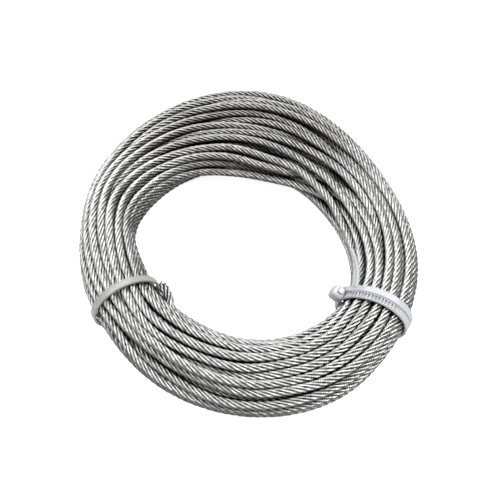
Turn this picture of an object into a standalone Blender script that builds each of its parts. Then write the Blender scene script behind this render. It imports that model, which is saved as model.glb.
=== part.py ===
"""A coil of stainless wire rope, lying on its side and held by two nylon cable ties.

The coil is one turned ring with its eye. Its section carries a ridge for each turn that shows,
and the ring is then settled: pulled oval, fanned out at the back, and drawn in under the ties.
"""

from math import ceil, cos, degrees, exp, pi, radians, sin, sqrt

import bmesh
import bpy
from mathutils import Matrix, Vector

# Driving dimensions, in metres and degrees. Angles round the coil run anticlockwise from +X, seen
# from above. Angles round the bundle run from the outer side, over the top, to the inner side.
ROPE_DIAMETER = 0.003
ROPE_TURNS = 48
COIL_RADIUS = 0.0493

OUT_OF_ROUND = 0.003
LONG_AXIS_ANGLE = 129

BUNDLE_FILL = 0.738
BUNDLE_ASPECT = 1.05
NARROW_FILL = 0.807
NARROW_ASPECT = 0.83
NARROW_ANGLE = 174.5
NARROW_SPREAD = 25.5
FAN_FILL = 0.53
FAN_ASPECT = 1.45
FAN_ANGLE = 84
FAN_SPREAD = 44
FAN_TILT = 12
FAN_OUTWARD = 0.0056
TIED_FILL = 0.865
TIED_SPREAD = 23
FLAT_DEPTH = 0.00012
GROOVE_DEPTH = 0.0009
RIDGE_SHARE = 0.5
RING_STEPS = 60

TIE_WIDTH = 0.0025
TIE_THICKNESS = 0.001
TIE_CLEARANCE = 0.0003
FLOOR_GAP = 0.0003
TIE_STEP_ANGLE = 10
HEAD_SIDE_WALL = 0.00105
HEAD_STANDOFF = 0.0009
HEAD_ROOF = 0.0035
HEAD_LENGTH = 0.005
HEAD_ROUNDING = 0.0012
LEFT_TIE_ANGLE = 210.2
LEFT_HEAD_ANGLE = 222
RIGHT_TIE_ANGLE = 329
RIGHT_HEAD_ANGLE = 158
RIGHT_TIE_LEAN = 0.0026
WRAP_GAP = 0.0001
CROSSING_START = 5
CROSSING_END = 75
STEP_OVER_LENGTH = 30
TAIL_LENGTH = 0.019
TAIL_TIP_WIDTH = 0.0008
TAIL_ANGLE = 137
TAIL_TIP_ANGLE = 154
TAIL_LIFT = 0.0001

END_GAP = 0.0005
END_LENGTH = 0.010
END_PLACE_ANGLE = 160
END_RISE = 0.0032
END_RISE_SHARE = 0.6


def bell(angle, centre, spread):
    """1 at the centre angle, falling smoothly to 0 a few spreads away, round the whole circle."""
    away = (angle - centre + 180) % 360 - 180
    return exp(-((away / spread) ** 2))


def smooth(value, low, high):
    """0 below low, 1 above high, and an even S between them."""
    share = min(1, max(0, (value - low) / (high - low)))
    return share * share * (3 - 2 * share)


def half_sizes(fill, aspect):
    """Half width and half height of a bundle whose turns fill this share of its section."""
    mean = ROPE_DIAMETER / 2 * sqrt(ROPE_TURNS / fill)
    return mean * aspect, mean / aspect


TIED_RADIUS = half_sizes(TIED_FILL, 1)[0]
TIED_LIFT = FLOOR_GAP + TIE_THICKNESS + TIE_CLEARANCE
TIE_ANGLES = (LEFT_TIE_ANGLE, RIGHT_TIE_ANGLE)


class Section:
    """The bundle's section at one angle round the coil: an ellipse, tilted where the turns fan out."""

    def __init__(self, angle):
        self.angle = angle
        fan = bell(angle, FAN_ANGLE, FAN_SPREAD)
        narrow = bell(angle, NARROW_ANGLE, NARROW_SPREAD)
        tied = sum(bell(angle, tie, TIED_SPREAD) for tie in TIE_ANGLES)
        body = half_sizes(BUNDLE_FILL, BUNDLE_ASPECT)
        fanned = half_sizes(FAN_FILL, FAN_ASPECT)
        narrowed = half_sizes(NARROW_FILL, NARROW_ASPECT)
        loose = 1 - min(1, tied)
        free = [b + fan * (f - b) + narrow * (n - b) for b, f, n in zip(body, fanned, narrowed)]
        self.half_width, self.half_height = (TIED_RADIUS + loose * (size - TIED_RADIUS) for size in free)
        self.tilt = radians(FAN_TILT) * fan
        oval = OUT_OF_ROUND * cos(radians(2 * (angle - LONG_AXIS_ANGLE)))
        self.radius = COIL_RADIUS + oval + FAN_OUTWARD * fan
        upright = sqrt((self.half_width * sin(self.tilt)) ** 2 + (self.half_height * cos(self.tilt)) ** 2)
        self.centre_height = upright + TIED_LIFT * min(1, tied) - FLAT_DEPTH * loose

    def place(self, across, up):
        """World point at a place in the section, given across (outwards) and up from its centre."""
        radial = self.radius + across * cos(self.tilt) - up * sin(self.tilt)
        height = self.centre_height + across * sin(self.tilt) + up * cos(self.tilt)
        turn = radians(self.angle)
        return Vector((radial * cos(turn), radial * sin(turn), height))

    def on_skin(self, around, out):
        """World point at an angle round the bundle, this far outside its skin."""
        turn = radians(around)
        return self.place((self.half_width + out) * cos(turn), (self.half_height + out) * sin(turn))

    def outward(self, around):
        """Direction straight out of the bundle's skin, at an angle round the bundle."""
        return (self.on_skin(around, ROPE_DIAMETER) - self.on_skin(around, 0)).normalized()


def material(name, colour, roughness, metallic, transmission=0.0):
    made = bpy.data.materials.new(name)
    made.use_nodes = True
    shader = made.node_tree.nodes["Principled BSDF"]
    shader.inputs["Base Color"].default_value = (*colour, 1)
    shader.inputs["Roughness"].default_value = roughness
    shader.inputs["Metallic"].default_value = metallic
    shader.inputs["Transmission Weight"].default_value = transmission
    return made


def add_object(name, mesh, collection, finish=None):
    made = bpy.data.objects.new(name, mesh)
    if finish:
        mesh.materials.append(finish)
    collection.objects.link(made)
    return made


def evaluated_copy(source):
    """A mesh of the object with its modifiers or its curve's bevel worked out, with loose caps welded."""
    graph = bpy.context.evaluated_depsgraph_get()
    mesh = bpy.data.meshes.new_from_object(source.evaluated_get(graph))
    shape = bmesh.new()
    shape.from_mesh(mesh)
    bmesh.ops.remove_doubles(shape, verts=shape.verts, dist=1e-6)
    shape.to_mesh(mesh)
    shape.free()
    return mesh


def join(target, helpers):
    """Unites the helper objects with the target, and hides them."""
    for helper in helpers:
        helper.hide_render = True
        helper.display_type = "WIRE"
        union = target.modifiers.new("join_" + helper.name, "BOOLEAN")
        union.operation = "UNION"
        union.object = helper


def ridged_profile():
    """The bundle's outline as (across, up) in metres, with one flat-topped ridge for each turn that shows.

    It runs down the outer side, and one ridge stands at the very bottom.
    """
    width, height = half_sizes(BUNDLE_FILL, BUNDLE_ASPECT)
    through_turns = pi * (width + height - ROPE_DIAMETER)
    ridges = round(through_turns / ROPE_DIAMETER)
    step = 2 * pi / ridges
    points = []
    for ridge in range(ridges):
        middle = -pi / 2 - ridge * step
        for offset, depth in ((RIDGE_SHARE / 2, 0), (-RIDGE_SHARE / 2, 0), (-0.5, GROOVE_DEPTH)):
            turn = middle + offset * step
            points.append(((width - depth) * cos(turn), (height - depth) * sin(turn)))
    return points


def turned_ring(collection):
    """The plain ring before it settles: the ridged profile turned round the coil's axis."""
    shape = bmesh.new()
    corners = [shape.verts.new((COIL_RADIUS + across, 0, up)) for across, up in ridged_profile()]
    for corner, following in zip(corners, corners[1:] + corners[:1]):
        shape.edges.new((corner, following))
    profile = bpy.data.meshes.new("ring_profile")
    shape.to_mesh(profile)
    shape.free()
    ring = add_object("ring_profile", profile, collection)
    screw = ring.modifiers.new("turn", "SCREW")
    screw.steps = screw.render_steps = RING_STEPS
    screw.use_merge_vertices = True
    screw.merge_threshold = 1e-5
    return ring


def settle(mesh):
    """Moves each vertex of the turned ring to its place in the settled bundle."""
    body = half_sizes(BUNDLE_FILL, BUNDLE_ASPECT)
    for vertex in mesh.vertices:
        flat = vertex.co.to_2d()
        section = Section(-degrees(Vector((1, 0)).angle_signed(flat)))
        across = (flat.length - COIL_RADIUS) * section.half_width / body[0]
        up = vertex.co.z * section.half_height / body[1]
        place = section.place(across, up)
        place.z = max(place.z, 0)
        vertex.co = place


def rope_end(collection):
    """The cut end of the rope, which lifts off the bundle's inner side and stops short of the left tie."""
    curve = bpy.data.curves.new("rope_end", "CURVE")
    curve.dimensions = "3D"
    curve.bevel_depth = ROPE_DIAMETER / 2
    curve.bevel_resolution = 2
    curve.use_fill_caps = True
    steps = ceil(END_LENGTH / ROPE_DIAMETER * 3)
    spline = curve.splines.new("POLY")
    spline.points.add(steps)
    inner_radius = Section(LEFT_TIE_ANGLE).radius - TIED_RADIUS
    for i, point in enumerate(spline.points):
        share = i / steps
        past_tie = TIE_WIDTH / 2 + END_GAP + share * END_LENGTH
        section = Section(LEFT_TIE_ANGLE + degrees(past_tie / inner_radius))
        rise = END_RISE * (1 - smooth(share, 1 - END_RISE_SHARE, 1))
        point.co = (*section.on_skin(END_PLACE_ANGLE, rise - ROPE_DIAMETER / 2), 1)
    guide = bpy.data.objects.new("rope_end_route", curve)
    collection.objects.link(guide)
    mesh = evaluated_copy(guide)
    bpy.data.objects.remove(guide)
    return add_object("rope_end", mesh, collection)


def strip(name, centres, acrosses, widths, collection):
    """A flat strap laid along a route: its under side through the centres, with thickness added outwards."""
    shape = bmesh.new()
    bmesh.ops.create_grid(shape, x_segments=len(centres) - 1, y_segments=1, size=1)
    for vertex in shape.verts:
        i = round((vertex.co.x + 1) / 2 * (len(centres) - 1))
        side = 1 if vertex.co.y > 0 else -1
        vertex.co = centres[i] + acrosses[i] * (side * widths[i] / 2)
    mesh = bpy.data.meshes.new(name)
    shape.to_mesh(mesh)
    shape.free()
    made = add_object(name, mesh, collection)
    wall = made.modifiers.new("thickness", "SOLIDIFY")
    wall.thickness = TIE_THICKNESS
    wall.offset = 1
    return made


class Tie:
    """A cable tie round the bundle: a strap wound once or twice, with its head moulded on."""

    def __init__(self, name, angle, head_angle, wraps, lean=0):
        self.name = name
        self.head_angle = head_angle
        self.wraps = wraps
        self.lean = lean
        self.section = Section(angle)
        turn = radians(angle)
        self.along = Vector((-sin(turn), cos(turn), 0))
        self.half_pitch = (TIE_WIDTH + WRAP_GAP) / 2 if wraps == 2 else 0

    def place(self, around, out, along):
        """World point at an angle round the bundle, this far off its skin and along the coil.

        A tie that leans has its inner side further back along the coil than its outer side.
        """
        leaned = along - self.lean * (1 - cos(radians(around))) / 2
        return self.section.on_skin(around, out) + self.along * leaned

    def shift(self, wound):
        """How far along the coil the strap lies after it has wound this many degrees."""
        first = smooth(wound, CROSSING_START, CROSSING_END)
        second = smooth(wound, 360 + CROSSING_START, 360 + CROSSING_END)
        return self.half_pitch * (2 * (first - second) - 1)

    def lift(self, wound):
        """How far off the bundle the strap lies: it steps over its own first wrap at the crossing."""
        if self.wraps == 1:
            return TIE_CLEARANCE
        start, end = 360 + CROSSING_START, 360 + CROSSING_END
        over = smooth(wound, start - STEP_OVER_LENGTH, start) - smooth(wound, end, end + STEP_OVER_LENGTH)
        return TIE_CLEARANCE + over * (TIE_THICKNESS + WRAP_GAP)

    def strap(self, collection):
        steps = round(360 * self.wraps / TIE_STEP_ANGLE)
        wound = [360 * self.wraps * i / steps for i in range(steps + 1)]
        centres = [self.place(self.head_angle + w, self.lift(w), self.shift(w)) for w in wound]
        return strip(self.name, centres, [-self.along] * len(wound), [TIE_WIDTH] * len(wound), collection)

    def head(self, collection):
        """The square head, which holds the strap's two ends and stands outwards."""
        out = self.section.outward(self.head_angle)
        tangent = self.along.cross(out)
        shape = bmesh.new()
        bmesh.ops.create_cube(shape, size=1)
        height = TIE_THICKNESS + HEAD_ROOF
        bmesh.ops.scale(shape, vec=(HEAD_LENGTH, TIE_WIDTH + 2 * HEAD_SIDE_WALL, height), verts=shape.verts)
        centre = self.place(self.head_angle, HEAD_STANDOFF + height / 2, -self.half_pitch)
        frame = Matrix((tangent, self.along, out)).transposed()
        mesh = bpy.data.meshes.new(self.name + "_head")
        shape.to_mesh(mesh)
        shape.free()
        made = add_object(mesh.name, mesh, collection)
        made.matrix_world = Matrix.Translation(centre) @ frame.to_4x4()
        edge = made.modifiers.new("rounding", "BEVEL")
        edge.width = HEAD_ROUNDING
        edge.segments = 2
        return made

    def tail(self, collection):
        """The untrimmed end, which comes out from under the wraps and lies back along the turns."""
        steps = ceil(TAIL_LENGTH / TIE_WIDTH)
        crest = self.section.on_skin(TAIL_ANGLE, 0).to_2d().length
        start = self.half_pitch - self.lean * (1 - cos(radians(TAIL_ANGLE))) / 2
        centres, acrosses, widths = [], [], []
        for i in range(steps + 1):
            share = i / steps
            around = TAIL_ANGLE + share * (TAIL_TIP_ANGLE - TAIL_ANGLE)
            section = Section(self.section.angle + degrees((start + share * TAIL_LENGTH) / crest))
            centres.append(section.on_skin(around, TIE_CLEARANCE + TAIL_LIFT))
            turn = radians(section.angle)
            along = Vector((-sin(turn), cos(turn), 0))
            acrosses.append(section.outward(around).cross(along).normalized())
            widths.append(TIE_WIDTH + (TAIL_TIP_WIDTH - TIE_WIDTH) * share)
        return strip(self.name + "_tail", centres, acrosses, widths, collection)


def coil_middle():
    """Middle of the settled ring's box in plan, from its sections."""
    reaches = []
    for angle in range(360):
        section = Section(angle)
        width = section.half_width * cos(section.tilt)
        height = section.half_height * sin(section.tilt)
        reach = section.radius + sqrt(width**2 + height**2)
        reaches.append((reach * cos(radians(angle)), reach * sin(radians(angle))))
    xs, ys = zip(*reaches)
    return (min(xs) + max(xs)) / 2, (min(ys) + max(ys)) / 2


def wire_rope(parts, helpers, steel):
    ring = turned_ring(helpers)
    mesh = evaluated_copy(ring)
    bpy.data.objects.remove(ring)
    settle(mesh)
    mesh.name = "wire_rope"
    rope = add_object("wire_rope", mesh, parts, steel)
    join(rope, [rope_end(helpers)])


def cable_tie(tie, parts, helpers, nylon):
    strap = tie.strap(parts)
    strap.data.materials.append(nylon)
    extras = [tie.head(helpers)]
    if tie.wraps == 2:
        extras.append(tie.tail(helpers))
    join(strap, extras)


def main():
    for old in list(bpy.data.objects):
        bpy.data.objects.remove(old)
    parts = bpy.data.collections.new("wire_rope_coil")
    helpers = bpy.data.collections.new("helpers")
    for collection in (parts, helpers):
        bpy.context.scene.collection.children.link(collection)

    steel = material("stainless_steel", (0.62, 0.62, 0.6), 0.35, 1)
    nylon = material("natural_nylon", (0.84, 0.85, 0.82), 0.4, 0, 0.4)

    middle = coil_middle()
    wire_rope(parts, helpers, steel)
    cable_tie(Tie("cable_tie_left", LEFT_TIE_ANGLE, LEFT_HEAD_ANGLE, 1), parts, helpers, nylon)
    right = Tie("cable_tie_right", RIGHT_TIE_ANGLE, RIGHT_HEAD_ANGLE, 2, RIGHT_TIE_LEAN)
    cable_tie(right, parts, helpers, nylon)

    base = bpy.data.objects.new("coil_base", None)
    base.location = (-middle[0], -middle[1], 0)
    for piece in [*parts.objects, *helpers.objects]:
        piece.parent = base
    parts.objects.link(base)


main()
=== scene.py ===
"""The looks of a coil of stainless wire rope held by two nylon cable ties.

The rope is one stranded rope from end to end. Its route is worked out the way a coil settles: every
turn is a disc in the section of the bundle, and the discs are pushed apart and straightened until
they lie on each other.
"""

import logging
from dataclasses import dataclass
from enum import Enum
from math import ceil, cos, pi, radians, sin, sqrt
from typing import Any

import bmesh
import bpy
import numpy as np
from bpy.types import Material, Mesh, Node, NodeTree, Object
from mathutils import Matrix, Vector

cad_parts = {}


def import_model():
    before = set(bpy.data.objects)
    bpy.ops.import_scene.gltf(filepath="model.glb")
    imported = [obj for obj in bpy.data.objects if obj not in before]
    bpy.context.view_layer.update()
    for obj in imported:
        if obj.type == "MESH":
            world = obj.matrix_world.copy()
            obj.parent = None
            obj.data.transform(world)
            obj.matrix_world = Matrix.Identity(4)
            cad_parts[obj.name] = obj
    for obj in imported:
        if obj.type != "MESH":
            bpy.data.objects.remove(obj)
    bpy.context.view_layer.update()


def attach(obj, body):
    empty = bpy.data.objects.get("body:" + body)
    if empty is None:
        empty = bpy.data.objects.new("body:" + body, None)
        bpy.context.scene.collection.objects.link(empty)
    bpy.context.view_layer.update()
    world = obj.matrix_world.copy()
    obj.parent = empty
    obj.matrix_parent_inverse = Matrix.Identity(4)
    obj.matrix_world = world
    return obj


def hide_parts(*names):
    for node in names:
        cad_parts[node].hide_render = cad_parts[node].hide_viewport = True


log = logging.getLogger("wire_rope_coil")

Array = np.ndarray
MM = 0.001
IMAGE_SIZE = 500
UV_MAP = "along_and_round"
MATH = "ShaderNodeMath"
MAP_RANGE = "ShaderNodeMapRange"
MIX = "ShaderNodeMix"
NOISE = "ShaderNodeTexNoise"
BUMP = "ShaderNodeBump"
SOFT = {"interpolation_type": "SMOOTHSTEP"}
RGBA = {"data_type": "RGBA"}
# Points closer than this are one point.
SAME_PLACE = 1e-7
# A place in a section that is out of reach of every turn.
FAR_AWAY = 9.0
TINY = 1e-12
# A strand's share of the rope's section is drawn as one valley and two shoulders.
CORNERS_A_STRAND = 3
# A stretch of the rope whose place is given. Each point, in rising order, is its winding angle, which
# is the angle round the coil plus 360 for every whole turn before the cut end, its angle round the
# bundle, and how far out the rope's middle lies, as a share of the room that it has.
Guide = tuple[tuple[float, float, float], ...]


def linear(colour: str) -> tuple[float, float, float, float]:
    """Turns an sRGB hex colour to the linear values that a shader takes.

    Args:
        colour: The colour as six hex digits, with or without a leading #.

    Returns:
        Red, green, blue and an alpha of 1.
    """
    digits = colour.lstrip("#")
    shares = [int(digits[i : i + 2], 16) / 255 for i in (0, 2, 4)]
    values = [s / 12.92 if s <= 0.04045 else ((s + 0.055) / 1.055) ** 2.4 for s in shares]
    return (values[0], values[1], values[2], 1.0)


def bell(angle: Array, centre: float, spread: float) -> Array:
    """1 at the centre angle, falling smoothly to 0 a few spreads away, round the whole circle."""
    away = (angle - centre + 180) % 360 - 180
    return np.exp(-((away / spread) ** 2))


def smooth(value: Array, low: float, high: float) -> Array:
    """0 below low, 1 above high, and an even S between them."""
    share = np.clip((np.asarray(value, float) - low) / (high - low), 0, 1)
    return share * share * (3 - 2 * share)


def unit(vectors: Array) -> Array:
    """The same directions with a length of 1."""
    return vectors / np.linalg.norm(vectors, axis=-1, keepdims=True)


def run_along(line: Array) -> Array:
    """How far along a line of points each of them is."""
    return np.concatenate([[0], np.cumsum(np.linalg.norm(np.diff(line, axis=0), axis=1))])


def across_line(line: Array) -> tuple[Array, Array]:
    """Level and upward directions across a line, at each of its points."""
    ahead = unit(np.gradient(line, axis=0))
    side = unit(np.cross(ahead, (0, 0, 1)))
    return side, np.cross(side, ahead)


def round_line(line: Array, directions: tuple[Array, Array], turn: Array, reach: Array) -> Array:
    """Places rings of points round a line.

    Args:
        line: The middle of each ring.
        directions: The level and the upward direction at each ring.
        turn: The angle of each point from the level one, in radians, as rings x points round.
        reach: How far each point lies from the middle.

    Returns:
        The points, as rings x points round x 3.
    """
    side, up = directions
    outward = np.cos(turn)[..., None] * side[:, None] + np.sin(turn)[..., None] * up[:, None]
    return line[:, None] + reach[..., None] * outward


def add_node(tree: NodeTree, kind: str, settings: dict[str, Any], links: dict[Any, Any]) -> Node:
    """Adds one shader node.

    Args:
        tree: The material's node tree.
        kind: The node's type name.
        settings: Attributes of the node, and under "inputs" the values of its sockets.
        links: For each of the node's inputs, the output socket that feeds it.

    Returns:
        The new node.
    """
    node = tree.nodes.new(kind)
    for name, value in settings.items():
        if name == "inputs":
            for socket, number in value.items():
                node.inputs[socket].default_value = number
        else:
            setattr(node, name, value)
    for socket, source in links.items():
        tree.links.new(source, node.inputs[socket])
    return node


def add_nodes(tree: NodeTree, out: dict[str, Any], rows: tuple[tuple[Any, ...], ...]) -> None:
    """Adds nodes that feed each other.

    Args:
        tree: The material's node tree.
        out: The outputs to feed from, by name, to which each new node's is added.
        rows: Each node's name, type, settings, and the names of what feeds its inputs.
    """
    for name, kind, settings, links in rows:
        sources = {socket: out[source] for socket, source in links.items()}
        out[name] = add_node(tree, kind, settings, sources).outputs[2 if kind == MIX else 0]


def second_on(*values: float) -> dict[str, dict[int, float]]:
    """Settings that give these values to a node's inputs, from the second one on."""
    return {"inputs": dict(enumerate(values, 1))}


def new_finish(name: str, sockets: dict[str, Any]) -> tuple[Material, Node]:
    """Makes a material whose shader has these values all over.

    Args:
        name: The material's name.
        sockets: Values of the shader's sockets, by name.

    Returns:
        The material and its shader.
    """
    made = bpy.data.materials.new(name)
    made.use_nodes = True
    shader = made.node_tree.nodes["Principled BSDF"]
    for socket, value in sockets.items():
        shader.inputs[socket].default_value = value
    return made, shader


def new_object(name: str, mesh: Mesh, material: Material) -> Object:
    """Links an object with this mesh and finish to the scene, at the origin."""
    made = bpy.data.objects.new(name, mesh)
    mesh.materials.append(material)
    bpy.context.scene.collection.objects.link(made)
    return made


def meshed(shape: bmesh.types.BMesh, name: str) -> Mesh:
    """Turns a shape to a mesh of this name and frees the shape."""
    mesh = bpy.data.meshes.new(name)
    shape.to_mesh(mesh)
    shape.free()
    return mesh


def read_parts(parts: Any, name: str, width: int, kind: type) -> Array:
    """Reads a property of a mesh's points, edges or corners, with a row for each."""
    flat = np.empty(len(parts) * width, kind)
    parts.foreach_get(name, flat)
    return flat.reshape(-1, width)


def sleeve(name: str, rings: Array, lengths: Array) -> Mesh:
    """Wraps a flat grid into a closed tube through the given rings of points.

    Args:
        name: The mesh's name.
        rings: Points in metres, as rings x points round x 3. Seen along the tube they run clockwise.
        lengths: The place of each ring along the tube, in metres, kept as the U of the UV map.

    Returns:
        A mesh closed at both ends, with V running once round the tube from 0 to 1.
    """
    count, around = rings.shape[:2]
    shape = bmesh.new()
    shape.loops.layers.uv.new(UV_MAP)
    bmesh.ops.create_grid(shape, x_segments=count - 1, y_segments=around, size=1, calc_uvs=True)
    mesh = meshed(shape, name)
    flat = read_parts(mesh.vertices, "co", 3, np.float32)
    ring = np.rint((flat[:, 0] + 1) / 2 * (count - 1)).astype(int)
    place = np.rint((flat[:, 1] + 1) / 2 * around).astype(int)
    mesh.vertices.foreach_set("co", rings[ring, place % around].astype(np.float32).ravel())
    corners = read_parts(mesh.loops, "vertex_index", 1, np.int32)[:, 0]
    uv = np.stack([lengths[ring[corners]], place[corners] / around], 1)
    mesh.uv_layers[0].data.foreach_set("uv", uv.astype(np.float32).ravel())
    shape = bmesh.new()
    shape.from_mesh(mesh)
    bmesh.ops.remove_doubles(shape, verts=shape.verts, dist=SAME_PLACE)
    bmesh.ops.holes_fill(shape, edges=[edge for edge in shape.edges if edge.is_boundary], sides=0)
    bmesh.ops.recalc_face_normals(shape, faces=shape.faces)
    shape.to_mesh(mesh)
    shape.free()
    mesh.shade_smooth()
    return mesh


@dataclass(frozen=True)
class Sections:
    """The bundle's section at many angles round the coil: ellipses, tilted where the turns fan out."""

    angle: Array
    half_width: Array
    half_height: Array
    tilt: Array
    radius: Array
    centre_height: Array
    middle: tuple[float, float]

    def place(self, across: Array, up: Array) -> Array:
        """Turns places in the sections to world points.

        Args:
            across: Metres outwards from the section's centre, along its tilted width.
            up: Metres up from the section's centre, along its tilted height.

        Returns:
            The points in metres, one for each angle.
        """
        radial = self.radius + across * np.cos(self.tilt) - up * np.sin(self.tilt)
        height = self.centre_height + across * np.sin(self.tilt) + up * np.cos(self.tilt)
        turn = np.radians(self.angle)
        x = radial * np.cos(turn) - self.middle[0]
        y = radial * np.sin(turn) - self.middle[1]
        return np.stack([x, y, height], -1)

    def on_skin(self, around: Array, out: Array) -> Array:
        """World points at angles round the bundle, this far outside its skin."""
        turn = np.radians(around)
        return self.place((self.half_width + out) * np.cos(turn), (self.half_height + out) * np.sin(turn))

    def outward(self, around: Array) -> Array:
        """Directions straight out of the bundle's skin, at angles round the bundle."""
        return unit(self.on_skin(around, MM) - self.on_skin(around, 0))

    def along(self) -> Array:
        """Level directions in which the turns run, anticlockwise seen from above."""
        turn = np.radians(self.angle)
        return np.stack([-np.sin(turn), np.cos(turn), np.zeros_like(turn)], -1)


@dataclass(frozen=True)
class Bundle:
    """The coil's bundle of turns, with the sizes of the solids, in metres and degrees.

    Angles round the coil run anticlockwise from +X, seen from above. Angles round the bundle run
    from the outer side, over the top, to the inner side.
    """

    rope_diameter: float = 0.003
    turns: int = 48
    coil_radius: float = 0.0493
    out_of_round: float = 0.003
    long_axis_angle: float = 129
    body_fill: float = 0.738
    body_aspect: float = 1.05
    narrow_fill: float = 0.807
    narrow_aspect: float = 0.83
    narrow_angle: float = 174.5
    narrow_spread: float = 25.5
    fan_fill: float = 0.53
    fan_aspect: float = 1.45
    fan_angle: float = 84
    fan_spread: float = 44
    fan_tilt: float = 12
    fan_outward: float = 0.0056
    tied_fill: float = 0.865
    tied_spread: float = 23
    tied_lift: float = 0.0016
    tie_angles: tuple[float, float] = (210.2, 329)
    flat_depth: float = 0.00012

    def half_sizes(self, fill: float, aspect: float) -> tuple[float, float]:
        """Half width and half height of a bundle whose turns fill this share of its section."""
        mean = self.rope_diameter / 2 * sqrt(self.turns / fill)
        return mean * aspect, mean / aspect

    def unplaced(self, angle: Array, middle: tuple[float, float]) -> Sections:
        """The sections at these angles, with the coil's axis at minus this middle."""
        fan = bell(angle, self.fan_angle, self.fan_spread)
        narrow = bell(angle, self.narrow_angle, self.narrow_spread)
        tied = np.minimum(1, sum(bell(angle, tie, self.tied_spread) for tie in self.tie_angles))
        tied_radius = self.half_sizes(self.tied_fill, 1)[0]
        body = self.half_sizes(self.body_fill, self.body_aspect)
        fanned = self.half_sizes(self.fan_fill, self.fan_aspect)
        narrowed = self.half_sizes(self.narrow_fill, self.narrow_aspect)
        loose = 1 - tied
        free = [b + fan * (f - b) + narrow * (n - b) for b, f, n in zip(body, fanned, narrowed)]
        width, height = (tied_radius + loose * (size - tied_radius) for size in free)
        tilt = np.radians(self.fan_tilt) * fan
        oval = self.out_of_round * np.cos(np.radians(2 * (angle - self.long_axis_angle)))
        upright = np.sqrt((width * np.sin(tilt)) ** 2 + (height * np.cos(tilt)) ** 2)
        lifted = self.tied_lift * tied - self.flat_depth * loose
        radius = self.coil_radius + oval + self.fan_outward * fan
        return Sections(angle, width, height, tilt, radius, upright + lifted, middle)

    def middle(self) -> tuple[float, float]:
        """Middle of the settled ring's box in plan, seen from the coil's axis."""
        ring = self.unplaced(np.arange(360.0), (0, 0))
        half = np.hypot(ring.half_width * np.cos(ring.tilt), ring.half_height * np.sin(ring.tilt))
        x = (ring.radius + half) * np.cos(np.radians(ring.angle))
        y = (ring.radius + half) * np.sin(np.radians(ring.angle))
        return float(x.min() + x.max()) / 2, float(y.min() + y.max()) / 2

    def sections(self, angle: Array) -> Sections:
        """The sections at these angles, in the frame of the solids."""
        return self.unplaced(np.asarray(angle, float), self.middle())


@dataclass(frozen=True)
class Furrow:
    """A gap between turns that runs along the bundle's skin, held open while the turns settle.

    Each point is an angle round the coil, in rising order, and an angle round the bundle.
    """

    points: tuple[tuple[float, float], ...]
    half_width: float = 0.35 * MM
    depth: float = 1.5 * MM


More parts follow.
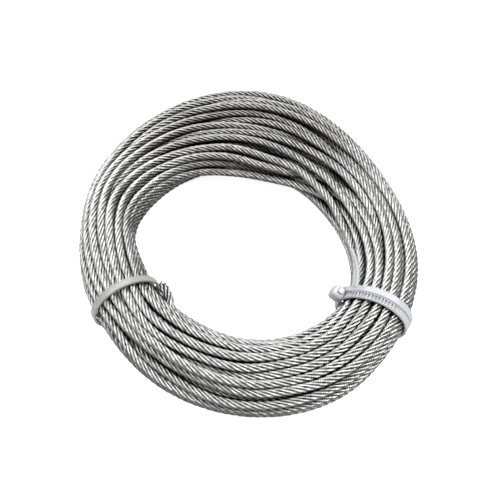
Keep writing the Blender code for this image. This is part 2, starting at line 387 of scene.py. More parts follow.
@dataclass
class RopeRoute:
    """The line that the middle of the rope follows, clockwise from its hidden start to its cut end.

    The turns settle in rounds. Fields that end in from or until are shares of all rounds.
    """

    bundle: Bundle
    end_angle: float
    stations: int = 72
    rounds: int = 500
    seed: int = 7
    waves: int = 40
    wander: float = 0.2
    slowest_wave: float = 0.05
    fastest_wave: float = 0.6
    slot_packing: float = 0.97
    guide_fade: float = 30
    furrow_open: float = 0.75
    swell_start: float = 0.35
    swell_until: float = 0.6
    turn_push: float = 0.5
    furrow_push: float = 0.6
    stiffness: float = 4.0
    least_stiff: float = 0.05
    soften_from: float = 0.75
    final_from: float = 0.97
    final_stiffness: float = 0.2
    firm_grip: float = 0.5
    firm_until: float = 0.85
    loose_grip: float = 0.15
    sight_step: float = 12
    sight_width: float = 0.95
    guides: tuple[Guide, ...] = ()
    furrows: tuple[Furrow, ...] = ()

    def __post_init__(self) -> None:
        """Works out the stations that the rope passes."""
        count = self.bundle.turns * self.stations
        self.wound = np.arange(count + 1) / self.stations
        self.angle = self.end_angle + 360 * (self.bundle.turns - self.wound)
        self.sections = self.bundle.sections(self.angle)
        radius = self.bundle.rope_diameter / 2
        self.room = np.stack([self.sections.half_width, self.sections.half_height], 1) - radius

    def slots(self) -> Array:
        """Places for the turns in a round section of radius 1, row by row from the bottom, to and fro."""
        row_height = sqrt(3) / 2
        pitch = sqrt(pi / self.bundle.turns / row_height) * self.slot_packing
        rows = []
        level = -1 + pitch / 2
        while level < 1:
            across = max(1, round(2 * sqrt(max(0, 1 - level * level)) / pitch))
            places = (np.arange(across) - (across - 1) / 2) * pitch
            rows.append([(x, level) for x in (places if len(rows) % 2 == 0 else places[::-1])])
            level += pitch * row_height
        return np.array([place for row in rows for place in row])

    def first_lay(self) -> Array:
        """Where the rope would run if each turn moved on to the next slot, with a slow wander."""
        slots = self.slots()
        turns = self.bundle.turns
        steps = np.linspace(0, len(slots) - 1, turns + 1)
        low = np.floor(steps).astype(int)
        high = np.minimum(low + 1, len(slots) - 1)
        base = slots[low] + (steps - low)[:, None] * (slots[high] - slots[low])
        turn = np.minimum(self.wound.astype(int), turns - 1)
        share = smooth(self.wound - turn, 0, 1)[:, None]
        lay = base[turn] + share * (base[turn + 1] - base[turn])
        rng = np.random.default_rng(self.seed)
        for _ in range(self.waves):
            rate = rng.uniform(self.slowest_wave, self.fastest_wave)
            phase = rng.uniform(0, 2 * pi, 2)
            size = rng.normal(size=2) * self.wander / sqrt(self.waves / 2)
            lay = lay + size * np.cos(2 * pi * rate * self.wound[:, None] + phase)
        return lay

    def guided(self) -> tuple[Array, Array]:
        """How firmly each station is held to its given place, from 0 to 1, and where."""
        hold = np.zeros(len(self.wound))
        where = np.zeros((len(self.wound), 2))
        for guide in self.guides:
            points = np.array(guide)
            near = smooth(self.angle, points[0, 0] - self.guide_fade, points[0, 0])
            near = near * (1 - smooth(self.angle, points[-1, 0], points[-1, 0] + self.guide_fade))
            around = np.radians(np.interp(self.angle, points[:, 0], points[:, 1]))
            out = np.interp(self.angle, points[:, 0], points[:, 2])
            places = [out * np.cos(around), out * np.sin(around)]
            firmer = near > hold
            where[firmer] = np.stack(places, 1)[firmer]
            hold = np.maximum(hold, near)
        return hold, where

    def straightened(self, lay: Array, stiffness: float) -> Array:
        """Takes the short waves out of the line, as a stiff rope does, with both ends held.

        Args:
            lay: Places in the section along the rope.
            stiffness: How long the waves are that the rope still resists.

        Returns:
            The straightened places.
        """
        line = np.linspace(lay[0], lay[-1], len(lay))
        swing = lay - line
        mirrored = np.concatenate([swing, -swing[-2:0:-1]])
        rates = 2 * pi * np.fft.rfftfreq(len(mirrored))
        kept = np.fft.rfft(mirrored, axis=0) / (1 + stiffness * rates**4)[:, None]
        return line + np.fft.irfft(kept, len(mirrored), axis=0)[: len(lay)]

    def blocks(self) -> tuple[Array, Array]:
        """Middles and reaches of the discs that hold the furrows open, for each station of one turn."""
        angle = self.angle[: self.stations]
        sections = self.bundle.sections(angle)
        middles = np.zeros((len(self.furrows), self.stations, 2))
        reaches = np.zeros((len(self.furrows), self.stations))
        for i, furrow in enumerate(self.furrows):
            points = np.array(furrow.points)
            half = (points[-1, 0] - points[0, 0]) / 2
            away = (angle - points[0, 0] - half + 180) % 360 - 180
            around = np.radians(np.interp(away + half + points[0, 0], points[:, 0], points[:, 1]))
            middles[i, :, 0] = (sections.half_width - furrow.depth) * np.cos(around)
            middles[i, :, 1] = (sections.half_height - furrow.depth) * np.sin(around)
            open_share = 1 - smooth(np.abs(away), half * self.furrow_open, half)
            reach = self.bundle.rope_diameter / 2 + furrow.half_width * open_share
            reaches[i] = np.where(open_share > 0, reach, 0)
        return middles, reaches

    def by_turn(self, lay: Array) -> Array:
        """The places as turns x stations x 2, with the last turn filled up with places far away."""
        layers = self.bundle.turns + 1
        spare = layers * self.stations - len(lay)
        return np.vstack([lay, np.full((spare, 2), FAR_AWAY)]).reshape(layers, self.stations, 2)

    def settled(self) -> Array:
        """Pushes the turns apart and straightens them until they lie on each other.

        Returns:
            The rope's places in the section, in metres, one for each station.
        """
        hold, target = self.guided()
        share = self.first_lay()
        lay = (share + hold[:, None] * (target - share)) * self.room
        layers = self.bundle.turns + 1
        real = (np.arange(layers * self.stations) < len(lay)).reshape(layers, self.stations)
        both_real = real[:, None] & real[None] & ~np.eye(layers, dtype=bool)[:, :, None]
        middles, reaches = self.blocks()
        for done in np.arange(self.rounds) / self.rounds:
            swollen = self.swell_start + (1 - self.swell_start) * done / self.swell_until
            diameter = self.bundle.rope_diameter * min(1, swollen)
            turns = self.by_turn(lay)
            apart = turns[:, None] - turns[None]
            distance = np.sqrt((apart**2).sum(-1)) + TINY
            overlap = np.where(both_real, np.clip(diameter - distance, 0, None), 0)
            touching = np.maximum(1, (overlap > 0).sum(1))[..., None]
            push = (apart * (overlap / distance)[..., None]).sum(1) * self.turn_push / np.sqrt(touching)
            from_block = turns[None] - middles[:, None]
            block_distance = np.sqrt((from_block**2).sum(-1)) + TINY
            inside = np.clip(reaches[:, None] - block_distance, 0, None)
            push = push + (from_block * (inside / block_distance)[..., None]).sum(0) * self.furrow_push
            share = (lay + push.reshape(-1, 2)[: len(lay)]) / self.room
            easing = min(1, max(self.least_stiff, (1 - done) / (1 - self.soften_from)))
            final = self.final_stiffness if done > self.final_from else 1
            share = self.straightened(share, self.stiffness * easing * final)
            grip = hold * (self.firm_grip if done < self.firm_until else self.loose_grip)
            share = share + grip[:, None] * (target - share)
            share = share / np.maximum(1, np.linalg.norm(share, axis=1))[:, None]
            lay = share * self.room
        return lay

    def seen(self, lay: Array) -> Array:
        """Finds where the rope can be seen between its neighbours, from any side.

        Args:
            lay: The rope's places in the section, in metres, one for each station.

        Returns:
            1 where a line of sight leaves the bundle and 0 where none does, one for each station.
        """
        turns = self.by_turn(lay)
        apart = turns[None] - turns[:, None]
        radius = self.bundle.rope_diameter / 2
        clear = np.zeros(turns.shape[:2], bool)
        for direction in np.radians(np.arange(0, 360, self.sight_step)):
            ahead = apart[..., 0] * cos(direction) + apart[..., 1] * sin(direction)
            aside = apart[..., 1] * cos(direction) - apart[..., 0] * sin(direction)
            for offset in (-self.sight_width * radius, 0, self.sight_width * radius):
                blocked = (ahead > 0) & (np.abs(aside - offset) < radius)
                clear |= ~blocked.any(1)
        return clear.reshape(-1)[: len(lay)].astype(float)


class Lay(Enum):
    """Which way the strands turn round the rope."""

    RIGHT_HAND = -1
    LEFT_HAND = 1


@dataclass(frozen=True)
class StainlessWire:
    """Drawn stainless steel wires, twisted into strands and then into rope.

    Drawing leaves each wire bright and smooth along its length, so the crowns of the strands flash
    white. A random speckle of lighter and darker steel, drawn coarser than the wires so that it shows,
    is painted glints. The valleys between strands are painted dark: painted shade. Painted shade also
    makes the gaps between turns nearly black where an ambient occlusion node finds little open space,
    less so towards the sides, where the ties are. A dull brown painted shade lies on flanks where the
    turns fan out at the back, and on surfaces that face down. Surfaces that face up are painted
    lighter, with less of the brown and of the valleys' dark: painted light.

    A ramp has its start and end, and its values there. The ramps named fanned and tied run over
    metres along the coil's axes, valley from its bottom at 0 to a crown at 0.5, the gaps' painted
    shade over how open a place is, fleck over a noise, and the others over how far the surface looks
    up, from -1 to 1.
    """

    # The first two colours are the speckle's greys, painted glints; the other three are painted shade.
    bright: str = "CBCBC9"
    shaded: str = "949492"
    # Painted shade in the valleys between strands.
    valley: str = "383734"
    # Painted shade in a dull brown, at the back and underneath.
    back_shade: str = "453F33"
    # Painted shade in the gaps between turns.
    gap_shade: str = "241F16"
    wire_diameter: float = 0.33 * MM
    wire_height: float = 0.0825 * MM
    rope_diameter: float = 3 * MM
    strands: int = 6
    lay_length: float = 14.9 * MM
    speckle: float = 1.5 * MM
    gap_shade_reach: float = 5 * MM

    def material(self) -> Material:
        """Makes the finish, whose pattern follows the rope's own UV map.

        Returns:
            The material.
        """
        made, shader = new_finish("drawn_stainless_wire", {"Metallic": 1.0, "Roughness": 0.3})
        tree = made.node_tree
        uv = add_node(tree, "ShaderNodeUVMap", {"uv_map": UV_MAP}, {})
        parts = add_node(tree, "ShaderNodeSeparateXYZ", {}, {0: uv.outputs[0]})
        place = add_node(tree, "ShaderNodeTexCoord", {}, {})
        where = add_node(tree, "ShaderNodeSeparateXYZ", {}, {0: place.outputs["Object"]})
        facing = add_node(tree, "ShaderNodeSeparateXYZ", {}, {0: place.outputs["Normal"]})
        # Ambient occlusion, for the painted shade in the gaps between turns.
        settings = {"samples": 4, "inputs": {"Distance": self.gap_shade_reach}}
        air = add_node(tree, "ShaderNodeAmbientOcclusion", settings, {})
        out = {
            "along": parts.outputs[0],
            "around": parts.outputs[1],
            "place": place.outputs["Object"],
            "x": where.outputs[0],
            "y": where.outputs[1],
            "up": facing.outputs[2],
            "open": air.outputs["AO"],
        }
        wires = round(pi * self.rope_diameter / self.wire_diameter)
        rows = (
            ("strand", MATH, {"operation": "MULTIPLY", "inputs": {1: self.strands}}, {0: "around"}),
            ("across", MATH, {"operation": "PINGPONG", "inputs": {1: 0.5}}, {0: "strand"}),
            ("turned", MATH, {"operation": "MULTIPLY", "inputs": {1: 1 / self.lay_length}}, {0: "along"}),
            ("level", MATH, {"operation": "SUBTRACT"}, {0: "around", 1: "turned"}),
            ("wire", MATH, {"operation": "MULTIPLY", "inputs": {1: 2 * pi * wires}}, {0: "level"}),
            ("ridge", MATH, {"operation": "SINE"}, {0: "wire"}),
            ("aside", MATH, {"operation": "ABSOLUTE"}, {0: "x"}),
            # Painted shade darkens the valleys, less of it on surfaces that face up, which is painted light.
            ("valley", MAP_RANGE, SOFT | second_on(0.0, 0.34, 0.0, 1.0), {0: "across"}),
            # Painted shade in a dull brown at the back, away from the tops, and on surfaces that face down.
            ("fanned", MAP_RANGE, SOFT | second_on(12 * MM, 48 * MM, 0.0, 0.95), {0: "y"}),
            ("not_facing_up", MAP_RANGE, SOFT | second_on(0.62, 1.0, 1.0, 0.15), {0: "up"}),
            ("beneath", MAP_RANGE, SOFT | second_on(-0.2, 0.45, 0.3, 0.0), {0: "up"}),
            ("lit_on_top", MAP_RANGE, SOFT | second_on(0.6, 0.95, 0.0, 0.75), {0: "up"}),
            # Less painted shade in the gaps towards the sides.
            ("tied", MAP_RANGE, SOFT | second_on(28 * MM, 46 * MM, -0.1, 0.24), {0: "aside"}),
            ("at_back", MATH, {"operation": "MULTIPLY"}, {0: "fanned", 1: "not_facing_up"}),
            ("back_shade_share", MATH, {"operation": "MAXIMUM"}, {0: "at_back", 1: "beneath"}),
            ("out_of_valley_shade", MATH, {"operation": "MAXIMUM"}, {0: "valley", 1: "lit_on_top"}),
            # Painted shade in the gaps: nearly black where little open space is near.
            ("airy", MATH, {"operation": "ADD"}, {0: "open", 1: "tied"}),
            ("out_of_gap_shade", MAP_RANGE, SOFT | second_on(0.16, 0.58, 0.0, 1.0), {0: "airy"}),
            # Painted glints: a random speckle of lighter and darker steel.
            ("patches", NOISE, {"inputs": {"Scale": 1 / self.speckle, "Roughness": 0.6}}, {0: "place"}),
            ("fleck", MAP_RANGE, second_on(0.36, 0.6, 0.0, 1.0), {0: "patches"}),
            ("steel", MIX, RGBA | {"inputs": {6: linear(self.shaded), 7: linear(self.bright)}}, {0: "fleck"}),
            ("back_shaded", MIX, RGBA | {"inputs": {7: linear(self.back_shade)}}, {0: "back_shade_share", 6: "steel"}),
            ("coloured", MIX, RGBA | {"inputs": {6: linear(self.valley)}}, {0: "out_of_valley_shade", 7: "back_shaded"}),
            ("gap_shaded", MIX, RGBA | {"inputs": {6: linear(self.gap_shade)}}, {0: "out_of_gap_shade", 7: "coloured"}),
            ("bump", BUMP, {"inputs": {"Strength": 0.35, "Distance": self.wire_height}}, {"Height": "ridge"}),
        )
        add_nodes(tree, out, rows)
        tree.links.new(out["gap_shaded"], shader.inputs["Base Color"])
        tree.links.new(out["bump"], shader.inputs["Normal"])
        return made


@dataclass
class WireRope:
    """The rope itself: six strands laid round a core strand, wound into the coil."""

    bundle: Bundle
    finish: StainlessWire
    node: str = "wire_rope"
    lay: Lay = Lay.RIGHT_HAND
    valley_radius: float = 0.87 * MM
    shoulder_angle: float = 19
    ring_spacing: float = 1.98 * MM
    hidden_spacing: float = 12.0 * MM
    seen_from: float = 0.02
    route_steps: int = 8
    quick_rounds: int = 150
    end_around: float = 160
    end_length: float = 10.0 * MM
    end_rise: float = 3.2 * MM
    end_rise_share: float = 0.6
    end_angle: float = 213.0
    frayed_length: float = 8.0 * MM
    frayed_step: float = 0.5 * MM
    fray: float = 0.6 * MM
    wire_lay: float = 7.0 * MM
    core_thinning: float = 0.5
    strands_across: int = 3
    uneven_ends: float = 1.5 * MM
    fray_range: tuple[float, float] = (0.5, 1.2)
    flare: float = 1.5
    wire_valley: float = 0.72
    frayed_corners: int = 12
    fray_seed: int = 3

    def fine_route(self, points: Array) -> Array:
        """Reads a smooth curve through the stations, several points for each step between two."""
        ends = np.vstack([2 * points[0] - points[1], points, 2 * points[-1] - points[-2]])
        before, first, second, after = ends[:-3], ends[1:-2], ends[2:-1], ends[3:]
        pieces = []
        for share in np.arange(self.route_steps) / self.route_steps:
            bent = 2 * before - 5 * first + 4 * second - after
            twist = 3 * first - before - 3 * second + after
            pieces.append(0.5 * (2 * first + (second - before) * share + bent * share**2 + twist * share**3))
        return np.vstack([np.stack(pieces, 1).reshape(-1, points.shape[1]), points[-1:]])

    def route(self) -> tuple[Array, Array]:
        """Works out the middle line of the rope.

        Returns:
            The points in metres, about half a millimetre apart, and for each whether it can be seen.
        """
        rounds = RopeRoute.rounds
        rough = self.laid_by_hand(RopeRoute(self.bundle, end_angle=self.end_angle, rounds=rounds))
        lay = rough.settled()
        sections = rough.sections
        inner_radius = sections.radius[-1] - sections.half_width[-1]
        stretch = np.degrees(self.end_length / inner_radius)
        merged = rough.angle[-1] + stretch
        rise = self.end_rise * (1 - smooth(rough.angle, merged - stretch * self.end_rise_share, merged))
        turn = np.radians(self.end_around)
        points = sections.place(lay[:, 0] + rise * cos(turn), lay[:, 1] + rise * sin(turn))
        points[:, 2] = np.maximum(points[:, 2], self.bundle.rope_diameter / 2)
        fine = self.fine_route(np.column_stack([points, rough.seen(lay)]))
        return fine[:, :3], fine[:, 3] > self.seen_from

    def laid_by_hand(self, rough: RopeRoute) -> RopeRoute:
        """Adds the stretches of the rope, and the gaps between turns, whose place the photograph shows."""
        start = (self.end_angle, self.end_around, 1.0)
        right = ((300, 163, 1.0), (345, 166, 1.0), (375, 165, 1.0), (389, 151, 1.0), (403, 143, 1.0))
        rear = ((422, 136, 1.0), (434, 133.5, 1.0), (445, 130, 1.0), (458, 126, 0.98))
        under_last_turn = ((803, 146, 1.0), (818, 140, 1.0), (835, 137, 1.0))
        rough.guides = ((start, *right, *rear), under_last_turn)
        rough.furrows = (
            Furrow(((212, 36), (230, 44), (250, 48), (271, 50))),
            Furrow(((235, 18), (253, 30), (271, 31), (288, 38)), half_width=0.7 * MM, depth=1.2 * MM),
            Furrow(((239, 75), (262, 76), (279, 66), (289, 60), (303, 53)), half_width=0.8 * MM),
            Furrow(((217, 113), (236, 111), (256, 115), (272, 112))),
            Furrow(((225, 87), (241, 91), (259, 93), (278, 93), (306, 84), (325, 72))),
            Furrow(((296, 104), (309, 103), (319, 97), (326, 96))),
            Furrow(((60, 74), (88, 73), (104, 79), (119, 92), (132, 103)), half_width=0.8 * MM),
            Furrow(
                ((60, 96), (88, 100), (101, 103), (114, 109), (126, 117), (139, 135), (150, 147)),
                half_width=0.6 * MM,
            ),
            Furrow(((35, 156), (65, 155), (87, 156), (104, 168)), half_width=0.5 * MM),
        )
        return rough

    def build(self) -> None:
        line, seen = self.route()
        run = run_along(line)
        spacing = np.where(seen, self.ring_spacing, self.hidden_spacing)
        rings_before = np.concatenate([[0], np.cumsum(np.diff(run) / spacing[1:])])
        count = ceil(rings_before[-1]) + 1
        places = np.interp(np.linspace(0, rings_before[-1], count), rings_before, run)
        centres = np.stack([np.interp(places, run, line[:, i]) for i in range(3)], 1)
        strand_pitch = 360 / self.finish.strands
        step = 360 * np.diff(places, prepend=0) / self.finish.lay_length
        hidden = step > strand_pitch
        step[hidden] = (step[hidden] + strand_pitch / 2) % strand_pitch - strand_pitch / 2
        twist = np.radians(np.cumsum(step)) * self.lay.value
        corners = CORNERS_A_STRAND * self.finish.strands
        within = np.array([0, self.shoulder_angle, strand_pitch - self.shoulder_angle])
        starts = np.arange(self.finish.strands) * strand_pitch
        round_angle = twist[:, None] + np.radians(starts[:, None] + within).ravel()
        at_valley = np.arange(corners) % CORNERS_A_STRAND == 0
        reach = np.where(at_valley, self.valley_radius, self.bundle.rope_diameter / 2)
        fraying = smooth(places, run[-1] - self.frayed_length, run[-1] - self.frayed_length / 2)
        thinning = 1 - self.core_thinning * fraying
        rings = round_line(centres, across_line(centres), round_angle, thinning[:, None] * reach)
        laid = sleeve(self.node + "_laid", rings, places)
        self.sharpen_valleys(laid)
        shape = bmesh.new()
        for part in [laid] + self.frayed_strands(line, run):
            shape.from_mesh(part)
        mesh = meshed(shape, self.node + "_whole")
        rope = new_object("laid_rope", mesh, self.finish.material())
        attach(rope, "root")
        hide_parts(self.node)
        triangles = sum(len(face.vertices) - 2 for face in mesh.polygons)
        report = "rope: %.2f m, %.0f%% seen, %d rings, %d triangles"
        log.info(report, run[-1], 100 * seen.mean(), count, triangles)

    def frayed_strands(self, line: Array, run: Array) -> list[Mesh]:
        """The six strands where they spring apart at the cut end, each with the six wires of its skin.

        Args:
            line: The rope's middle line, in metres.
            run: How far along the rope each point of the line is.

        Returns:
            One closed mesh for each strand.
        """
        rng = np.random.default_rng(self.fray_seed)
        strand_radius = self.bundle.rope_diameter / (2 * self.strands_across)
        corners = np.arange(self.frayed_corners)
        reach = np.where(corners % 2 == 0, self.wire_valley, 1) * strand_radius
        steps = ceil(self.frayed_length / self.frayed_step)
        meshes = []
        for strand in range(self.finish.strands):
            end = run[-1] - rng.uniform(0, 1) * self.uneven_ends
            places = np.linspace(run[-1] - self.frayed_length, end, steps)
            share = (places - places[0]) / self.frayed_length
            centres = np.stack([np.interp(places, run, line[:, i]) for i in range(3)], 1)
            directions = across_line(centres)
            laid = self.lay.value * places / self.finish.lay_length
            turn = 2 * pi * ((strand + 0.5) / self.finish.strands + laid)
            spread = 2 * strand_radius + self.fray * rng.uniform(*self.fray_range) * share**self.flare
            middles = round_line(centres, directions, turn[:, None], spread[:, None])[:, 0]
            wires_laid = self.lay.value * 2 * pi * places[:, None] / self.wire_lay
            wires = 2 * pi * corners / self.frayed_corners - wires_laid
            rings = round_line(middles, directions, wires, reach)
            meshes.append(sleeve(f"frayed_strand_{strand}", rings, places))
        return meshes

    def sharpen_valleys(self, mesh: Mesh) -> None:
        """Marks the bottom of each valley sharp, so that each strand is shaded as its own round."""
        corners = CORNERS_A_STRAND * self.finish.strands
        ends = read_parts(mesh.edges, "vertices", 2, np.int32)
        corner_vertex = read_parts(mesh.loops, "vertex_index", 1, np.int32)[:, 0]
        uv = read_parts(mesh.uv_layers[0].data, "uv", 2, np.float32)
        place = np.zeros(len(mesh.vertices), int)
        place[corner_vertex] = np.rint(uv[:, 1] * corners).astype(int) % corners
        level = place[ends[:, 0]] == place[ends[:, 1]]
        sharp = mesh.attributes.new("sharp_edge", "BOOLEAN", "EDGE")
        sharp.data.foreach_set("value", level & (place[ends[:, 0]] % CORNERS_A_STRAND == 0))


@dataclass(frozen=True)
class NaturalNylon:
    """Uncoloured moulded nylon 66, as cable ties are made of.

    It is milky and lets some light through, under a satin skin with a faint grain from the mould. Its
    colour is painted pale where it stands free and grey in its corners and close to the steel, as an
    ambient occlusion node finds them: painted shade.
    """

    name: str = "moulded_nylon_66"
    body: str = "C8CACE"
    # Painted shade in the corners and close to the steel.
    nook_shade: str = "7C7E83"
    milk_reach: float = 0.8 * MM
    grain: float = 0.6 * MM
    grain_height: float = 0.05 * MM
    shade_reach: float = 1.5 * MM

    def material(self) -> Material:
        """Makes the finish.

        Returns:
            The material.
        """
        sockets = {
            "Roughness": 0.32,
            "IOR": 1.53,
            "Transmission Weight": 0.35,
            "Subsurface Weight": 0.4,
            "Subsurface Radius": (1.0, 1.0, 0.9),
            "Subsurface Scale": self.milk_reach,
        }
        made, shader = new_finish(self.name, sockets)
        tree = made.node_tree
        place = add_node(tree, "ShaderNodeTexCoord", {}, {})
        settings = {"samples": 4, "inputs": {"Distance": self.shade_reach}}
        air = add_node(tree, "ShaderNodeAmbientOcclusion", settings, {})
        out = {"place": place.outputs["Object"], "open": air.outputs["AO"]}
        rows = (
            # Painted shade: greyer where the ambient occlusion finds little open space.
            ("free", MAP_RANGE, SOFT | second_on(0.3, 0.95, 0.0, 1.0), {0: "open"}),
            ("colour", MIX, RGBA | {"inputs": {6: linear(self.nook_shade), 7: linear(self.body)}}, {0: "free"}),
            ("skin", NOISE, {"inputs": {"Scale": 1 / self.grain, "Detail": 3.0}}, {0: "place"}),
            ("bump", BUMP, {"inputs": {"Strength": 0.25, "Distance": self.grain_height}}, {"Height": "skin"}),
        )
        add_nodes(tree, out, rows)
        tree.links.new(out["colour"], shader.inputs["Base Color"])
        tree.links.new(out["bump"], shader.inputs["Normal"])
        return made


@dataclass
class CableTie:
    """A cable tie round the bundle: a strap wound once or twice, its head, and a tail if it is left on."""

    bundle: Bundle
    finish: Material
    node: str
    angle: float
    head_angle: float
    wraps: int
    lean: float = 0
    teeth_from: float = 0
    teeth_to: float = 0
    teeth_fade: tuple[float, float] = (40, 3)
    tooth_shape: tuple[float, float, float, float] = (0.3, 0.5, 0.85, 1)
    tail_angles: tuple[float, float] | None = None
    width: float = 2.5 * MM
    thickness: float = 1.0 * MM
    clearance: float = 0.3 * MM
    wrap_gap: float = 0.1 * MM
    edge_round: float = 0.22 * MM
    rail_width: float = 0.42 * MM
    rail_foot: float = 1.15
    channel_depth: float = 0.06 * MM
    tooth_pitch: float = 1.07 * MM
    tooth_depth: float = 0.45 * MM
    step: float = 0.18 * MM
    head_side_wall: float = 1.05 * MM
    head_standoff: float = 0.9 * MM
    head_roof: float = 3.5 * MM
    head_length: float = 5.0 * MM
    head_rounding: float = 1.3 * MM
    head_segments: int = 4
    slot_rim: float = 0.25 * MM
    slot_depth: float = 0.8 * MM
    sharp_angle: float = 35
    tail_length: float = 19.0 * MM
    tail_tip_width: float = 0.8 * MM
    tail_lift: float = 0.1 * MM
    crossing: tuple[float, float] = (5, 75)
    step_over: float = 30

    @property
    def half_pitch(self) -> float:
        """Half the way between two wraps that lie side by side."""
        return (self.width + self.wrap_gap) / 2 if self.wraps == 2 else 0.0

    def shift(self, wound: Array) -> Array:
        """How far along the coil the strap lies after it has wound this many degrees."""
        start, end = self.crossing
        return self.half_pitch * (2 * (smooth(wound, start, end) - smooth(wound, 360 + start, 360 + end)) - 1)

    def leaned(self, around: Array) -> Array:
        """How far back along the coil the tie lies, because its inner side stands behind its outer side."""
        return -self.lean * (1 - np.cos(np.radians(around))) / 2

    def lift(self, wound: Array) -> Array:
        """How far off the bundle the strap lies: it steps over its own first wrap at the crossing."""
        if self.wraps == 1:
            return np.full_like(wound, self.clearance)
        start, end = (360 + side for side in self.crossing)
        over = smooth(wound, start - self.step_over, start) - smooth(wound, end, end + self.step_over)
        return self.clearance + over * (self.thickness + self.wrap_gap)

    def outline(self, count: int, width: Array, floor: Array) -> Array:
        """The strap's section at each step, as places across it and out of it.

        Args:
            count: How many steps there are.
            width: The strap's width at each step.
            floor: How high the channel between the two rails lies at each step.

        Returns:
            Places in metres, as steps x points round the section x 2.
        """
        half = width / 2
        edge = self.edge_round * width / self.width
        rail = self.rail_width * width / self.width
        zero, top = np.zeros(count), np.full(count, self.thickness)
        right = [
            (half - edge, zero),
            (half, zero + edge),
            (half, top - edge),
            (half - edge, top),
            (half - rail, top),
            (half - self.rail_foot * rail, floor),
        ]
        left = [(-across, out) for across, out in reversed(right)]
        return np.stack([np.stack(point, 1) for point in right + left], 1)

    def swept(self, name: str, under: Array, across: Array, outline: Array) -> Mesh:
        """Sweeps a section along the strap's under side.

        Args:
            name: The mesh's name.
            under: Points along the middle of the strap's under side.
            across: Directions across the strap, along the coil.
            outline: The section at each point, as the method outline gives it.

        Returns:
            The closed mesh of the strap.
        """
        ahead = unit(np.gradient(under, axis=0))
        out = unit(np.cross(ahead, across))
        side = np.cross(out, ahead)
        rings = under[:, None] + outline[..., :1] * side[:, None] + outline[..., 1:] * out[:, None]
        return sleeve(name, rings, run_along(under))

    def strap(self) -> Mesh:
        """The strap from the head round the bundle and back, with teeth between its rails where they show."""
        section = self.bundle.sections(np.array(self.angle))
        around_length = 2 * pi * float(np.sqrt(section.half_width * section.half_height)) * self.wraps
        count = ceil(around_length / self.step)
        wound = np.linspace(0, 360 * self.wraps, count)
        sections = self.bundle.sections(np.full(count, float(self.angle)))
        along = sections.along()
        around = self.head_angle + wound
        aside = self.shift(wound) + self.leaned(around)
        under = sections.on_skin(around, self.lift(wound)) + aside[:, None] * along
        tooth = (run_along(under) / self.tooth_pitch) % 1
        before, after = self.teeth_fade
        toothed = smooth(wound, self.teeth_from - before, self.teeth_from)
        toothed = toothed * (1 - smooth(wound, self.teeth_to, self.teeth_to + after))
        fall, bottom, rise, crest = self.tooth_shape
        groove = smooth(tooth, fall, bottom) * (1 - smooth(tooth, rise, crest))
        floor = self.thickness - self.tooth_depth * toothed * groove - self.channel_depth
        outline = self.outline(count, np.full(count, self.width), floor)
        return self.swept(self.node + "_strap", under, -along, outline)

    def tail(self) -> Mesh:
        """The untrimmed end, which comes out from under the wraps and lies back along the turns."""
        first, last = self.tail_angles
        crest = self.bundle.sections(np.array(self.angle)).on_skin(first, 0)
        middle = self.bundle.middle()
        reach_radius = float(np.hypot(crest[0] + middle[0], crest[1] + middle[1]))
        count = ceil(self.tail_length / self.step)
        share = np.linspace(0, 1, count)
        around = first + share * (last - first)
        reach = self.half_pitch + float(self.leaned(np.array(first))) + share * self.tail_length
        sections = self.bundle.sections(self.angle + np.degrees(reach / reach_radius))
        under = sections.on_skin(around, self.clearance + self.tail_lift)
        across = np.cross(sections.outward(around), sections.along())
        width = self.width + (self.tail_tip_width - self.width) * share
        outline = self.outline(count, width, np.full(count, self.thickness - self.channel_depth))
        return self.swept(self.node + "_tail", under, unit(across), outline)

    def head(self) -> bmesh.types.BMesh:
        """The square head with the slot that the strap runs through, as a shape in its place."""
        section = self.bundle.sections(np.array([float(self.angle)]))
        around = np.array([float(self.head_angle)])
        out = Vector(section.outward(around)[0])
        along = Vector(section.along()[0])
        tangent = along.cross(out)
        height = self.thickness + self.head_roof
        shape = bmesh.new()
        bmesh.ops.create_cube(shape, size=1)
        size = (self.head_length, self.width + 2 * self.head_side_wall, height)
        bmesh.ops.scale(shape, vec=size, verts=shape.verts)
        bmesh.ops.bevel(
            shape,
            geom=shape.edges[:],
            offset=self.head_rounding,
            segments=self.head_segments,
            profile=0.5,
            affect="EDGES",
            material=-1,
            clamp_overlap=True,
        )
        ends = [face for face in shape.faces if abs(face.normal.x) > 0.99 and face.calc_area() > MM**2]
        bmesh.ops.inset_individual(shape, faces=ends, thickness=self.slot_rim)
        for face in ends:
            step = bmesh.ops.extrude_face_region(shape, geom=[face])
            moved = [item for item in step["geom"] if isinstance(item, bmesh.types.BMVert)]
            inwards = -1 if face.normal.x > 0 else 1
            bmesh.ops.translate(shape, vec=(inwards * self.slot_depth, 0, 0), verts=moved)
            bmesh.ops.delete(shape, geom=[face], context="FACES")
        aside = self.leaned(around)[0] - self.half_pitch
        centre = section.on_skin(around, self.head_standoff + height / 2)[0] + aside * section.along()[0]
        frame = Matrix((tangent, along, out)).transposed().to_4x4()
        bmesh.ops.transform(shape, matrix=Matrix.Translation(Vector(centre)) @ frame, verts=shape.verts)
        return shape

    def build(self) -> None:
        """Builds the tie as one object, which stands for its solid."""
        shape = self.head()
        meshes = [self.strap()] + ([self.tail()] if self.tail_angles else [])
        for mesh in meshes:
            shape.from_mesh(mesh)
        whole = meshed(shape, self.node + "_moulded")
        whole.shade_smooth()
        whole.set_sharp_from_angle(angle=radians(self.sharp_angle))
        tie = new_object("moulded_" + self.node, whole, self.finish)
        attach(tie, "root")
        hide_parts(self.node)
        log.info("%s: %d faces", self.node, len(whole.polygons))


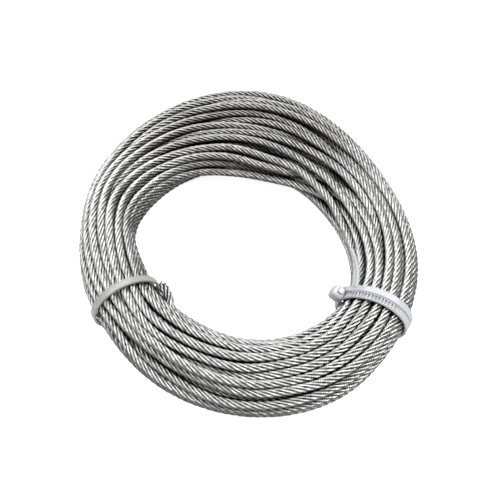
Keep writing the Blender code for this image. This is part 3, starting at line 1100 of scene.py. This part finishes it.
@dataclass(frozen=True)
class Studio:
    """A pale floor, soft light and the camera at the photograph's angle.

    The floor is a white card that glows. The steel doesn't mirror it, so that the outer turns keep
    the dark edges that they have on the photograph's white ground. Each lamp has a name, a place
    and a width in metres, and its power in watts.
    """

    distance: float = 0.25
    elevation: float = 58.6
    focal_pixels: float = 666
    axis_pixel: tuple[float, float] = (244.5, 262.9)
    floor_reach: float = 3
    lamps: tuple[tuple[str, tuple[float, float, float], float, float], ...] = (
        ("back", (-0.1, 0.55, 0.72), 0.6, 5),
        ("left", (-0.5, 0.0, 0.78), 0.7, 5.6),
        ("right", (0.5, 0.0, 0.78), 0.7, 9.6),
    )

    def floor(self) -> None:
        """Lays the white card under the coil."""
        shape = bmesh.new()
        bmesh.ops.create_grid(shape, x_segments=1, y_segments=1, size=self.floor_reach)
        sockets = {
            "Base Color": linear("F8F8F8"),
            "Roughness": 0.9,
            "Emission Color": linear("FFFFFF"),
            "Emission Strength": 0.85,
        }
        floor = new_object("floor", meshed(shape, "floor"), new_finish("white_card", sockets)[0])
        floor.visible_glossy = False

    def light(self) -> None:
        """Adds the pale surround, and the soft square lamps that point at the coil."""
        world = bpy.data.worlds.new("white_surround")
        world.use_nodes = True
        background = world.node_tree.nodes["Background"]
        background.inputs["Color"].default_value = linear("F4F5F6")
        background.inputs["Strength"].default_value = 0.44
        bpy.context.scene.world = world
        bpy.context.scene.view_settings.view_transform = "Standard"
        for name, place, width, power in self.lamps:
            data = bpy.data.lights.new(name, "AREA")
            data.size = width
            data.energy = power
            made = bpy.data.objects.new(name, data)
            made.location = place
            made.rotation_euler = (-Vector(place)).to_track_quat("-Z", "Y").to_euler()
            bpy.context.scene.collection.objects.link(made)

    def camera(self, bundle: Bundle) -> None:
        """Places the camera so that the coil's axis meets the floor at its pixel."""
        middle = bundle.middle()
        lift = radians(self.elevation)
        data = bpy.data.cameras.new("camera")
        data.sensor_width = 36
        data.lens = data.sensor_width * self.focal_pixels / IMAGE_SIZE
        data.shift_x = (IMAGE_SIZE / 2 - self.axis_pixel[0]) / IMAGE_SIZE
        data.shift_y = (self.axis_pixel[1] - IMAGE_SIZE / 2) / IMAGE_SIZE
        data.clip_start = 10 * MM
        made = bpy.data.objects.new("camera", data)
        made.location = (-middle[0], -middle[1] - self.distance * cos(lift), self.distance * sin(lift))
        made.rotation_euler = (pi / 2 - lift, 0, 0)
        bpy.context.scene.collection.objects.link(made)
        bpy.context.scene.camera = made


def main() -> None:
    """Builds every piece in order and reports each."""
    logging.basicConfig(level=logging.INFO, format="%(message)s")
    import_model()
    bundle = Bundle()
    studio = Studio()
    studio.camera(bundle)
    WireRope(bundle, StainlessWire()).build()
    nylon = NaturalNylon().material()
    # A greyer copy of the same nylon for the left tie: painted shade.
    shaded_nylon = NaturalNylon(name="shaded_nylon_66", body="ACADA7", nook_shade="66675A").material()
    left, right = bundle.tie_angles
    CableTie(bundle, shaded_nylon, "cable_tie_left", left, head_angle=222, wraps=1).build()
    CableTie(
        bundle,
        nylon,
        "cable_tie_right",
        right,
        head_angle=158,
        wraps=2,
        lean=2.6 * MM,
        teeth_from=635,
        teeth_to=715,
        tail_angles=(137, 154),
    ).build()
    studio.floor()
    studio.light()


if __name__ == "__main__":
    main()
